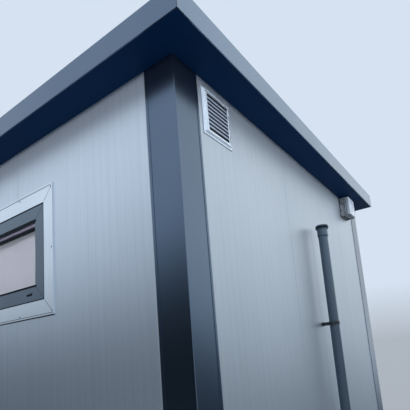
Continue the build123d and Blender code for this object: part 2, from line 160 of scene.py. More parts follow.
@dataclass(frozen=True)
class Finish:
    """A surface with a slow drift between two tones and a fine grain.

    The sizes are real ones in millimetres, read on Object coordinates.
    """

    name: str
    colour: str
    shade: str
    metallic: float = 0.0
    roughness: float = 0.5
    ior: float = 1.5
    specular: float = 0.5
    drift_mm: float = 400.0
    drift_octaves: float = 4.0
    drift_share: float = 0.5
    grain_mm: float = 2.0
    grain_octaves: float = 2.0
    grain_height_mm: float = 0.02
    roughness_spread: float = 0.06

    def material(self) -> bpy.types.Material:
        """Make this finish's material, or find it again.

        Returns:
            The material.
        """
        kept = bpy.data.materials.get(self.name)
        if kept is not None:
            return kept
        made = empty_material(self.name)
        tree = made.node_tree
        place = add_node(tree, "TexCoord").outputs["Object"]
        drift = add_node(
            tree, "TexNoise", {"Scale": 1000 / self.drift_mm, "Detail": self.drift_octaves}, {"Vector": place}
        )
        share = add_node(tree, "MapRange", {**TONE_SPAN, "To Max": self.drift_share}, {"Value": drift})
        tone = add_node(
            tree, "Mix", {"data_type": "RGBA", 6: linear(self.colour), 7: linear(self.shade)}, {0: share}
        ).outputs[2]
        tone, relief = self.pattern(tree, place, tone)
        grain = add_node(
            tree, "TexNoise", {"Scale": 1000 / self.grain_mm, "Detail": self.grain_octaves}, {"Vector": place}
        )
        normal = add_node(tree, "Bump", {"Distance": self.grain_height_mm * MM, "Strength": 1.0}, {"Height": grain})
        if relief is not None:
            normal = add_node(tree, "Bump", {"Distance": MM, "Strength": 1.0}, {"Height": relief, "Normal": normal})
        least, most = self.roughness - self.roughness_spread, self.roughness + self.roughness_spread
        rough = add_node(tree, "MapRange", {**GLOSS_SPAN, "To Min": least, "To Max": most}, {"Value": drift})
        settings = {"Metallic": self.metallic, "Specular IOR Level": self.specular}
        if self.metallic < METAL_FROM:
            settings["IOR"] = self.ior
        shader = add_node(
            tree, "BsdfPrincipled", settings, {"Base Color": tone, "Roughness": rough, "Normal": normal}
        )
        add_node(tree, "OutputMaterial", links={"Surface": shader})
        return made

    def pattern(self, tree: bpy.types.NodeTree, place: Source, tone: Source) -> tuple[Source, Source | None]:
        """Leave the colour as it is, with no height: a plain finish has no pattern."""
        return tone, None


@dataclass(frozen=True)
class LinedPanel(Finish):
    """Coil-coated panel skin with narrow rolled lines and a wider line where two panels meet."""

    run: Run = Run.ALONG_X
    # The dark of the joints, also used for painted shade in the rolled lines
    joint_and_groove_shade_colour: str = "#20262C"
    line_pitch_mm: float = 57.5
    line_width_mm: float = 7.0
    line_depth_mm: float = 0.08
    # How much darker the rolled lines are: painted shade in their grooves
    groove_painted_shade: float = 0.08
    joint_share: float = 0.40
    streak_mm: tuple[float, float, float] = (11.0, 11.0, 700.0)
    streak_octaves: float = 3.0
    streak_share: float = 0.05
    joint_pitch_mm: float = 1150.0
    joint_at_mm: float = 0.0
    joint_width_mm: float = 7.0
    joint_depth_mm: float = 1.5

    def groove(self, tree: bpy.types.NodeTree, level: Source, pitch_mm: float, width_mm: float) -> Source:
        """Return a mask that is 1 in the middle of each line.

        Args:
            tree: The node tree.
            level: The coordinate along the wall, in metres.
            pitch_mm: From line to line.
            width_mm: Over one line.

        Returns:
            The mask, from 0 to 1.
        """
        moved = add_node(tree, "Math", {"operation": "SUBTRACT", 1: self.joint_at_mm * MM}, {0: level})
        away = add_node(tree, "Math", {"operation": "PINGPONG", 1: pitch_mm * MM / 2}, {0: moved})
        return add_node(
            tree, "MapRange",
            {"interpolation_type": "SMOOTHSTEP", "From Max": width_mm * MM / 2, "To Min": 1.0, "To Max": 0.0},
            {"Value": away},
        )

    def pattern(self, tree: bpy.types.NodeTree, place: Source, tone: Source) -> tuple[Source, Source | None]:
        """Add the rolled lines and the joints, darker and set back; the darkening of the rolled lines is painted shade
        in their grooves.

        Args:
            tree: The node tree.
            place: Object coordinates.
            tone: The colour so far.

        Returns:
            The colour, and the height in millimetres.
        """
        level = add_node(tree, "SeparateXYZ", links={0: place}).outputs[self.run.value]
        line = self.groove(tree, level, self.line_pitch_mm, self.line_width_mm)
        joint = self.groove(tree, level, self.joint_pitch_mm, self.joint_width_mm)
        # Rain streaks: drawn out upright, and only a few percent darker
        scales = [1000 / size for size in self.streak_mm]
        drawn = add_node(tree, "VectorMath", {"operation": "MULTIPLY", 1: scales}, {0: place})
        streaks = add_node(tree, "TexNoise", {"Scale": 1.0, "Detail": self.streak_octaves}, {"Vector": drawn})
        rain = add_node(tree, "MapRange", {**TONE_SPAN, "To Max": self.streak_share}, {"Value": streaks})
        # Rolled lines darkened as painted shade, rain streaks added; joints darkened as dark joints
        groove_shade_and_rain = add_node(tree, "Math", {"operation": "MULTIPLY_ADD", 1: self.groove_painted_shade}, {0: line, 2: rain})
        strong = add_node(tree, "Math", {"operation": "MULTIPLY", 1: self.joint_share}, {0: joint})
        dark = add_node(tree, "Math", {"operation": "MAXIMUM"}, {0: groove_shade_and_rain, 1: strong})
        tone = add_node(
            tree, "Mix", {"data_type": "RGBA", 7: linear(self.joint_and_groove_shade_colour)}, {0: dark, 6: tone}
        ).outputs[2]
        shallow = add_node(tree, "Math", {"operation": "MULTIPLY", 1: -self.line_depth_mm}, {0: line})
        relief = add_node(
            tree, "Math", {"operation": "MULTIPLY_ADD", 1: -self.joint_depth_mm}, {0: joint, 2: shallow}
        )
        return tone, relief


@dataclass(frozen=True)
class Glass:
    """Clear float glass, smooth and nearly colourless."""

    name: str = "float_glass"
    colour: str = "#F6F8FA"
    roughness: float = 0.02
    ior: float = 1.45
    wave_mm: float = 300.0
    wave_height_mm: float = 0.2

    def material(self) -> bpy.types.Material:
        """Make the glass material, or find it again.

        Returns:
            The material.
        """
        kept = bpy.data.materials.get(self.name)
        if kept is not None:
            return kept
        made = empty_material(self.name)
        tree = made.node_tree
        place = add_node(tree, "TexCoord").outputs["Object"]
        # The slow waviness that float glass shows in reflections
        wave = add_node(tree, "TexNoise", {"Scale": 1000 / self.wave_mm}, {"Vector": place})
        normal = add_node(tree, "Bump", {"Distance": self.wave_height_mm * MM, "Strength": 1.0}, {"Height": wave})
        clear = {"Roughness": self.roughness, "IOR": self.ior, "Transmission Weight": 1.0}
        shader = add_node(
            tree, "BsdfPrincipled", {"Base Color": linear(self.colour), **clear}, {"Normal": normal}
        )
        add_node(tree, "OutputMaterial", links={"Surface": shader})
        return made


# Silver coil coating: a bright flaked paint on rolled steel, satin, so it mirrors softly
FRONT_PANEL = LinedPanel(
    "silver_coil_coating_front", "#CFD9E3", "#C6D1DC", metallic=0.84, roughness=0.37, drift_mm=900,
    grain_mm=4, grain_height_mm=0.003, roughness_spread=0.012, run=Run.ALONG_X, joint_at_mm=1665,
)
END_PANEL = LinedPanel(
    "silver_coil_coating_ends", "#C4CED7", "#BBC6CF", metallic=0.84, roughness=0.44, drift_mm=900,
    grain_mm=4, grain_height_mm=0.003, roughness_spread=0.012, run=Run.ALONG_Y, joint_at_mm=-245,
)
# Flashing: the same silver coating on plain bent sheet, smoother and a little brighter
FLASHING = Finish(
    "silver_coated_flashing", "#CAD4DC", "#BFCAD2", metallic=0.7, roughness=0.31, drift_mm=500,
    grain_mm=3, grain_height_mm=0.005, roughness_spread=0.02,
)
# Dark trim: anthracite flaked coating on folded steel, satin, bluish where it mirrors the sky
TRIM = Finish(
    "anthracite_coated_steel", "#6A7A8D", "#607082", metallic=0.98, roughness=0.25, drift_mm=700,
    grain_mm=3, grain_height_mm=0.006, roughness_spread=0.02,
)
# The end fascias get a lighter copy of the same coating: painted light, for the brighter light that falls on them
TRIM_PAINTED_LIGHTER = Finish(
    "anthracite_coated_steel_painted_lighter", "#798DA3", "#6F8399", metallic=0.97, roughness=0.22, drift_mm=700,
    grain_mm=3, grain_height_mm=0.006, roughness_spread=0.02,
)
# Eaves board: a flat matt board that sends almost nothing back. Its anthracite is painted a deep navy, which is painted
# shade for the blue shade under the eaves
SOFFIT = Finish(
    "matt_board_painted_eaves_shade", "#022E55", "#022A4F", roughness=0.6, specular=0.10, drift_mm=500,
)
# Window profile: foiled PVC with a fine grain
PROFILE = Finish(
    "foiled_pvc_profile", "#34424F", "#2E3B48", roughness=0.31, ior=1.53, specular=0.7, drift_mm=250,
    grain_mm=1.2, roughness_spread=0.02,
)
# Blind: pale plain woven cloth, a little pink
BLIND = Finish(
    "pale_blind_cloth", "#C7C0C4", "#BEB7BC", roughness=0.85, specular=0.2, drift_mm=300,
    grain_mm=1.5, grain_height_mm=0.08,
)
# Seals and gaps: black rubber, matt
RUBBER = Finish(
    "black_epdm_rubber", "#0B0F14", "#11161C", roughness=0.7, specular=0.15, drift_mm=60, grain_mm=0.8,
)
# Vent: aluminium with a pale matt anodised skin, nearly white in daylight
VENT_METAL = Finish(
    "matt_anodised_aluminium", "#C4CFD9", "#ABB7C2", metallic=0.4, roughness=0.34, drift_mm=80,
    grain_mm=0.7, grain_height_mm=0.01, roughness_spread=0.04,
)
# Vent blades: the same skin, painted a darker grey: painted shade, for the shade that lies on the blades
VENT_BLADE = Finish(
    "anodised_aluminium_painted_shade", "#8F9BAB", "#818D9D", metallic=0.4, roughness=0.42, drift_mm=80,
    grain_mm=0.7, grain_height_mm=0.01, roughness_spread=0.04,
)
# Pipe: extruded PVC, dark blue-grey, smooth with a low gloss
PIPE_PVC = Finish(
    "anthracite_pvc_pipe", "#344452", "#2C3B48", roughness=0.36, ior=1.53, drift_mm=200,
    grain_mm=2.5, grain_height_mm=0.015,
)
# Rail of the blind: black coated aluminium, nearly matt
BLIND_RAIL = Finish(
    "black_coated_rail", "#14171C", "#101318", roughness=0.55, drift_mm=120, grain_mm=1.5, grain_height_mm=0.01,
)
# Glazing bead over the pane: mauve-grey matt plastic, a little lighter than the frame
GLAZING_BEAD = Finish(
    "mauve_grey_plastic", "#625E6A", "#595560", roughness=0.6, drift_mm=120, grain_mm=1.5, grain_height_mm=0.01,
)
# Clips: moulded black nylon
NYLON = Finish(
    "black_nylon", "#0E1720", "#141E28", roughness=0.4, ior=1.53, drift_mm=40, grain_mm=0.8,
)
# Light body: clouded clear plastic over the lamp holders, so it looks mottled grey
LAMP_BODY = Finish(
    "clouded_polycarbonate", "#A1A6AD", "#3C434B", roughness=0.34, ior=1.58, drift_mm=30,
    drift_share=1.0, grain_mm=1.5, roughness_spread=0.04,
)
# Light cover: opal plastic, pale grey and a little weathered
LAMP_COVER = Finish(
    "opal_polycarbonate", "#A6AFB9", "#6C7782", roughness=0.34, ior=1.58, drift_mm=60, drift_share=0.7,
)
# Roof sheet: plain grey coating, dulled by the weather
ROOF_STEEL = Finish(
    "weathered_grey_coating", "#8C97A1", "#737E88", metallic=0.35, roughness=0.45, drift_mm=350,
    drift_share=0.8, grain_mm=4,
)
# Roof slab and floor: plain lined board and vinyl, seen only from inside
LINED_BOARD = Finish("lined_board", "#CFCBC2", "#C4BFB5", roughness=0.7, drift_mm=300)
VINYL = Finish("grey_vinyl", "#6E7073", "#5F6164", roughness=0.55, drift_mm=90, drift_share=0.8)
# Screws, rivets, hinges and the handle: satin stainless and zinced steel
STAINLESS = Finish(
    "satin_stainless_steel", "#C6CACE", "#AEB3B8", metallic=1.0, roughness=0.34, drift_mm=20,
    grain_mm=0.6, grain_height_mm=0.006,
)


@dataclass
class Place:
    """A face that details are drawn on: u along it, v up it, w out of it."""

    origin: tuple[float, float, float]
    along: tuple[float, float, float]
    up: tuple[float, float, float] = (0.0, 0.0, 1.0)

    def matrix(self) -> Matrix:
        """Work out how u, v and w lie in the cabin's frame.

        Returns:
            The matrix from u, v, w to the cabin's frame.
        """
        along, up = Vector(self.along), Vector(self.up)
        turned = Matrix((along, up, along.cross(up))).transposed().to_4x4()
        return Matrix.Translation(self.origin) @ turned


class Shape:
    """A mesh in the making, drawn on one face of the cabin in metres."""

    def __init__(self, place: Place) -> None:
        """Start an empty mesh on a face of the cabin."""
        self.mesh = bmesh.new()
        self.to_cabin = place.matrix()

    def block(self, low: tuple, high: tuple, edge: float = 0.0) -> None:
        """Add a rectangular block.

        Args:
            low: Its lowest corner in u, v, w.
            high: Its highest corner.
            edge: The width of its softened edges, or 0.
        """
        low_corner, high_corner = Vector(low), Vector(high)
        size = high_corner - low_corner
        shape = Matrix.Translation((low_corner + high_corner) / 2) @ Matrix.Diagonal((*size, 1.0))
        made = bmesh.ops.create_cube(self.mesh, size=1.0, matrix=self.to_cabin @ shape)
        if edge > 0:
            edges = list(dict.fromkeys(e for v in made["verts"] for e in v.link_edges))
            bmesh.ops.bevel(
                self.mesh, geom=edges, offset=edge, offset_type="OFFSET", affect="EDGES",
                segments=EDGE_ROWS, profile=0.5, material=-1,
            )

    def ring(self, low: tuple[float, float], high: tuple[float, float], width: float, foot: float, top: float) -> None:
        """Add a rectangular ring that stands on the face.

        Args:
            low: Its outer lowest corner in u, v.
            high: Its outer highest corner.
            width: From its outer to its inner edge.
            foot: Where it starts in w.
            top: Where it ends in w.
        """
        size = (high[0] - low[0], high[1] - low[1])
        middle = ((low[0] + high[0]) / 2, (low[1] + high[1]) / 2, foot)
        shape = Matrix.Translation(middle) @ Matrix.Diagonal((size[0], size[1], 1.0, 1.0))
        made = bmesh.ops.create_grid(self.mesh, x_segments=1, y_segments=1, size=0.5, matrix=self.to_cabin @ shape)
        face = made["verts"][0].link_faces[0]
        bmesh.ops.inset_region(self.mesh, faces=[face], thickness=width, use_boundary=True, use_even_offset=True)
        rim = [f for e in face.edges for f in e.link_faces if f is not face]
        bmesh.ops.delete(self.mesh, geom=[face], context="FACES")
        raised = bmesh.ops.extrude_face_region(self.mesh, geom=rim)
        lifted = [v for v in raised["geom"] if isinstance(v, bmesh.types.BMVert)]
        out = self.to_cabin.to_3x3() @ Vector((0.0, 0.0, top - foot))
        bmesh.ops.translate(self.mesh, vec=out, verts=lifted)

    def rod(self, centre: tuple, radius: float, height: float, sides: int) -> None:
        """Add a round or many-sided rod that stands on the face.

        Args:
            centre: The middle of its foot in u, v, w.
            radius: From its middle to its corners.
            height: In w.
            sides: The number of its sides.
        """
        shape = Matrix.Translation((centre[0], centre[1], centre[2] + height / 2))
        bmesh.ops.create_cone(
            self.mesh, cap_ends=True, segments=sides, radius1=radius, radius2=radius, depth=height,
            matrix=self.to_cabin @ shape,
        )

    def band(self, centre: tuple, inner: float, outer: float, height: float, sides: int = 40) -> None:
        """Add a plain round band that stands on the face.

        Args:
            centre: The middle of its foot in u, v, w.
            inner: Its inner radius.
            outer: Its outer radius.
            height: In w.
            sides: The number of its sides.
        """
        middle = Vector(centre)
        corners = ((inner, 0.0), (outer, 0.0), (outer, height), (inner, height))
        loop = [self.mesh.verts.new(self.to_cabin @ (middle + Vector((out, 0.0, rise)))) for out, rise in corners]
        edges = [self.mesh.edges.new((loop[i], loop[i - 1])) for i in range(4)]
        axis = self.to_cabin.to_3x3() @ Vector((0.0, 0.0, 1.0))
        bmesh.ops.spin(
            self.mesh, geom=loop + edges, cent=self.to_cabin @ middle, axis=axis,
            angle=2 * math.pi, steps=sides, use_merge=True,
        )

    def dome(self, centre: tuple, radius: float, height: float) -> None:
        """Add a low domed rivet head, given the middle of its foot in u, v, w."""
        shape = Matrix.Translation(centre) @ Matrix.Diagonal((radius, radius, height, 1.0))
        bmesh.ops.create_uvsphere(self.mesh, u_segments=12, v_segments=6, radius=1.0, matrix=self.to_cabin @ shape)

    def seam(self, start: tuple[float, float], end: tuple[float, float], width: float, foot: float, top: float) -> None:
        """Add a narrow flat strip from one point of the face to another.

        Args:
            start: Where it starts in u, v.
            end: Where it ends.
            width: Across it.
            foot: Where it starts in w.
            top: Where it ends in w.
        """
        run = Vector((end[0] - start[0], end[1] - start[1]))
        middle = ((start[0] + end[0]) / 2, (start[1] + end[1]) / 2, (foot + top) / 2)
        shape = (
            Matrix.Translation(middle)
            @ Matrix.Rotation(math.atan2(run.y, run.x), 4, "Z")
            @ Matrix.Diagonal((run.length, width, top - foot, 1.0))
        )
        bmesh.ops.create_cube(self.mesh, size=1.0, matrix=self.to_cabin @ shape)

    def piece(self, name: str, finish: Finish | Glass, slot: str) -> None:
        """Turn the mesh into a dressed piece that rides on the cabin.

        Args:
            name: The piece's name.
            finish: What it is coated with.
            slot: The record's material slot; not used.
        """
        bmesh.ops.recalc_face_normals(self.mesh, faces=self.mesh.faces[:])
        for face in self.mesh.faces:
            face.smooth = True
        data = finished_mesh(self.mesh, name, finish.material())
        data.set_sharp_from_angle(angle=SHARP_BEND)
        made = add_object(name, data)
        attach(made, "root")
        LOG.info("piece %s, %d faces", name, len(data.polygons))


def dress(finish: Finish | Glass, *nodes: str) -> None:
    """Coat CAD nodes with a finish.

    Args:
        finish: The finish.
        nodes: The nodes' names.
    """
    for name in nodes:
        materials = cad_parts[name].data.materials
        materials.clear()
        materials.append(finish.material())
        LOG.info("node %s dressed in %s", name, finish.name)


@dataclass
class Shell:
    """Walls, roof slab, floor and base frame."""

    rail_web: float = 6 * MM
    cap_thickness: float = 5 * MM
    cap_inset: float = 1 * MM

    def build(self) -> None:
        """Dress the nodes and close the ends of the base rails."""
        dress(FRONT_PANEL, "front_wall_piers", "front_wall_header", "front_wall_sills", "back_wall")
        dress(
            END_PANEL, "left_wall", "right_wall", "right_wall_corner_panel", "right_wall_below_vent",
            "right_wall_above_vent",
        )
        dress(LINED_BOARD, "roof_deck")
        dress(VINYL, "floor_deck")
        dress(TRIM, "base_rails", "base_crossmembers")
        for end in ("front", "back"):
            dress(TRIM, f"corner_trim_{end}_left", f"corner_trim_{end}_right")
        self.end_caps()

    def end_caps(self) -> None:
        """Add the plates that close the open ends of the two base channels."""
        low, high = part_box("base_rails")
        beam_low, beam_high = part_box("base_crossmembers")
        caps = Shape(Place((0.0, 0.0, 0.0), (1.0, 0.0, 0.0), (0.0, 1.0, 0.0)))
        web, near, far = self.rail_web, self.cap_inset, self.cap_inset + self.cap_thickness
        for start, end in ((low.x + near, low.x + far), (high.x - far, high.x - near)):
            for front, back in ((low.y + web, beam_low.y), (beam_high.y, high.y - web)):
                caps.block((start, front, low.z + web), (end, back, high.z - web))
        caps.piece("base_end_caps", TRIM, "anthracite_steel")


@dataclass
class RoofEdge:
    """Fascias, eaves boards and the ribbed roof sheet with its screws."""

    rib_pitch: float = 333 * MM
    rib_count: int = 19
    screw_rows: int = 5
    row_margin: float = 140 * MM
    head_radius: float = 4.6 * MM
    head_height: float = 5 * MM
    washer_radius: float = 9 * MM
    washer_height: float = 2 * MM
    seam_width: float = 2.5 * MM
    seam_inset: float = 0.4 * MM

    def build(self) -> None:
        """Dress the nodes and add the screws and the corner seams."""
        dress(TRIM, "fascia_front", "fascia_back")
        # The end fascias wear the lighter copy of the trim: painted light
        dress(TRIM_PAINTED_LIGHTER, "fascia_left", "fascia_right")
        dress(SOFFIT, "soffit_front", "soffit_right", "soffit_left")
        dress(ROOF_STEEL, "roof_sheet")
        self.screws()
        self.corners()

    def screws(self) -> None:
        """Add a screw with a washer at each crossing of a rib and a row."""
        low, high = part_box("roof_sheet")
        shape = Shape(Place((0.0, 0.0, high.z), (1.0, 0.0, 0.0), (0.0, 1.0, 0.0)))
        first, last = low.y + self.row_margin, high.y - self.row_margin
        for rib in range(self.rib_count):
            x = (rib - (self.rib_count - 1) / 2) * self.rib_pitch
            for row in range(self.screw_rows):
                y = first + row * (last - first) / (self.screw_rows - 1)
                shape.rod((x, y, 0.0), self.washer_radius, self.washer_height, sides=12)
                shape.rod((x, y, self.washer_height), self.head_radius, self.head_height, sides=6)
        shape.piece("roof_screws", STAINLESS, "bare_steel")

    def corners(self) -> None:
        """Add the dark line of each mitred fascia corner."""
        low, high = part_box("fascia_front")
        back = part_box("fascia_back")[1].y
        seams = Shape(Place((0.0, 0.0, 0.0), (1.0, 0.0, 0.0), (0.0, 1.0, 0.0)))
        half, inset = self.seam_width / 2, self.seam_inset
        for x, out_x in ((low.x, 1), (high.x, -1)):
            for y, out_y in ((low.y, 1), (back, -1)):
                across = sorted((x, x + out_x * half))
                deep = sorted((y, y + out_y * half))
                seams.block((across[0], deep[0], low.z + inset), (across[1], deep[1], high.z - inset))
        seams.piece("fascia_corner_seams", RUBBER, "seal_rubber")


@dataclass
class Window:
    """One window: seals, beads, blind rail, drain slots, and the rivets and lines of its flashing."""

    side: str
    member: float = 105 * MM
    glass_depth: float = 22 * MM
    soft_edge: float = 1 * MM
    seal_width: float = 8 * MM
    seal_height: float = 3 * MM
    head_seal: float = 20 * MM
    head_seal_height: float = 4 * MM
    glazing_bead: float = 20 * MM
    glazing_bead_lap: float = 0.5 * MM
    glazing_bead_height: float = 7 * MM
    flashing_lap: float = 5 * MM
    # The black line round the frame: partly the gap, partly painted shadow under the flashing's edge
    shadow_line_width: float = 7 * MM
    shadow_line_height: float = 1.5 * MM
    head_bead: float = 16 * MM
    foot_bead: float = 11 * MM
    bead_reach: float = 14 * MM
    bead_height: float = 2.5 * MM
    face_height: float = 3 * MM
    # A thin black line beside the hem: painted shadow of the hem
    hem_inset: float = 9 * MM
    hem_shadow_line: float = 3 * MM
    line_height: float = 0.4 * MM
    # A black strip under the flashing's foot: painted shade of its hem's underside
    hem_underside_shade_height: float = 5 * MM
    flashing_mitre: float = 2.2 * MM
    frame_mitre: float = 1.6 * MM
    frame_mitre_height: float = 0.3 * MM
    blind_depth: float = 70 * MM
    rail_gap: float = 1 * MM
    rail_foot: float = 0.5 * MM
    rail_height: float = 22 * MM
    rail_depth: float = 13 * MM
    rail_edge: float = 2 * MM
    slot_rise: float = 51 * MM
    slot_from_corner: float = 164 * MM
    slot_length: float = 58 * MM
    slot_width: float = 12 * MM
    slot_height: float = 0.6 * MM
    hood_width: float = 7 * MM
    hood_height: float = 4.5 * MM
    rivet_radius: float = 5 * MM
    rivet_height: float = 2.2 * MM
    rivet_edge: float = 20 * MM
    rivets_across: int = 5

    def build(self) -> None:
        """Dress the window's nodes and add its details."""
        dress(PROFILE, f"window_frame_{self.side}")
        dress(FLASHING, f"window_flashing_{self.side}")
        dress(Glass(), f"window_glass_{self.side}")
        dress(BLIND, f"window_blind_{self.side}")
        low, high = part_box(f"window_frame_{self.side}")
        self.left, self.right = low.x, high.x
        self.bottom, self.top = low.z, high.z
        self.front = Place((0.0, low.y, 0.0), (1.0, 0.0, 0.0))
        self.seals()
        self.blind_rail()
        self.drains()
        self.flashing_details()

    def seals(self) -> None:
        """Add the black seals round the pane, the black line round the frame that is partly a seal in the gap and
        partly painted shadow under the flashing's edge, and the beads over and under the pane.
        """
        pane = -self.glass_depth
        inset, lap = self.member - SUNK, self.flashing_lap
        head = self.top - self.member
        bead_foot = head - self.glazing_bead
        left, right = self.left + inset, self.right - inset
        shape = Shape(self.front)
        shape.ring(
            (left, self.bottom + inset), (right, self.top - inset), self.seal_width, pane, pane + self.seal_height
        )
        shape.block(
            (left, bead_foot - self.head_seal, pane), (right, bead_foot, pane + self.head_seal_height),
            edge=self.soft_edge,
        )
        # Partly the gap round the frame, partly painted shadow under the flashing's edge
        shape.ring(
            (self.left + lap, self.bottom + lap), (self.right - lap, self.top - lap), self.shadow_line_width,
            -SUNK, self.shadow_line_height,
        )
        for edge, rise in ((head, self.head_bead), (self.bottom + self.member, -self.foot_bead)):
            shape.block(
                (self.left + self.member - self.bead_reach, min(edge, edge + rise), -SUNK),
                (self.right - self.member + self.bead_reach, max(edge, edge + rise), self.bead_height),
                edge=self.soft_edge,
            )
        shape.piece(f"window_seals_and_painted_shadow_{self.side}", RUBBER, "seal_rubber")
        bead = Shape(self.front)
        bead.block(
            (left, bead_foot, pane), (right, head + self.glazing_bead_lap, pane + self.glazing_bead_height),
            edge=self.soft_edge,
        )
        bead.piece(f"glazing_bead_{self.side}", GLAZING_BEAD, "anthracite_plastic")

    def blind_rail(self) -> None:
        """Add the dark rail that the blind hangs from."""
        reach, head = self.member + self.rail_gap, self.top - self.member
        rail = Shape(self.front)
        rail.block(
            (self.left + reach, head - self.rail_height, self.rail_foot - self.blind_depth),
            (self.right - reach, head, self.rail_depth - self.blind_depth),
            edge=self.rail_edge,
        )
        rail.piece(f"blind_rail_{self.side}", BLIND_RAIL, "anthracite_plastic")

    def drains(self) -> None:
        """Add the drain slots, as flat black blocks of painted shade for their openings, with their small hoods in the
        bottom member.
        """
        slots, hoods = Shape(self.front), Shape(self.front)
        half, foot = self.slot_length / 2, self.bottom + self.slot_rise - self.slot_width / 2
        head = foot + self.slot_width
        for middle in (self.left + self.slot_from_corner, self.right - self.slot_from_corner):
            # Each slot is a flat black block: painted shade of the opening
            slots.block((middle - half, foot, -SUNK), (middle + half, head, self.slot_height))
            hoods.block(
                (middle - half, head, -SUNK), (middle + half, head + self.hood_width, self.hood_height),
                edge=self.soft_edge,
            )
        slots.piece(f"drain_slot_shade_{self.side}", RUBBER, "seal_rubber")
        hoods.piece(f"drain_hoods_{self.side}", PROFILE, "anthracite_plastic")

    def flashing_details(self) -> None:
        """Add the flashing's mitre lines, a painted shadow line beside its hem, its rivets and a black strip of painted
        shade under its foot, and the frame's mitre lines.
        """
        low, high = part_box(f"window_flashing_{self.side}")
        seams = Shape(self.front)
        near, far = self.hem_inset, self.hem_inset + self.hem_shadow_line
        foot, top = self.face_height - SUNK, self.face_height + self.line_height
        # Beside the hem, on the sides and the foot: a black line of painted shadow
        for start, end in ((low.x + near, low.x + far), (high.x - far, high.x - near)):
            seams.block((start, low.z + near, foot), (end, high.z - near, top))
        seams.block((low.x + near, low.z + near, foot), (high.x - near, low.z + far, top))
        # Under the foot: a black strip of painted shade for the hem's underside
        seams.block((low.x, low.z - self.hem_underside_shade_height, -SUNK), (high.x, low.z, self.face_height))
        member = self.member
        for u, outer_u, inward_u in ((self.left, low.x, 1), (self.right, high.x, -1)):
            for v, outer_v, inward_v in ((self.bottom, low.z, 1), (self.top, high.z, -1)):
                inner = (u + inward_u * member, v + inward_v * member)
                seams.seam((u, v), inner, self.frame_mitre, -SUNK, self.frame_mitre_height)
                seams.seam((outer_u, outer_v), (u, v), self.flashing_mitre, foot, top)
        seams.piece(f"flashing_mitres_and_painted_shade_{self.side}", RUBBER, "seal_rubber")
        rivets = Shape(self.front)
        left, right = low.x + self.rivet_edge, high.x - self.rivet_edge
        bottom, top = low.z + self.rivet_edge, high.z - self.rivet_edge
        pitch = (right - left) / (self.rivets_across - 1)
        spots = [(left + i * pitch, z) for i in range(self.rivets_across) for z in (bottom, top)]
        spots += [(x, (bottom + top) / 2) for x in (left, right)]
        for u, v in spots:
            rivets.dome((u, v, self.face_height), self.rivet_radius, self.rivet_height)
        rivets.piece(f"flashing_rivets_{self.side}", TRIM, "bare_steel")


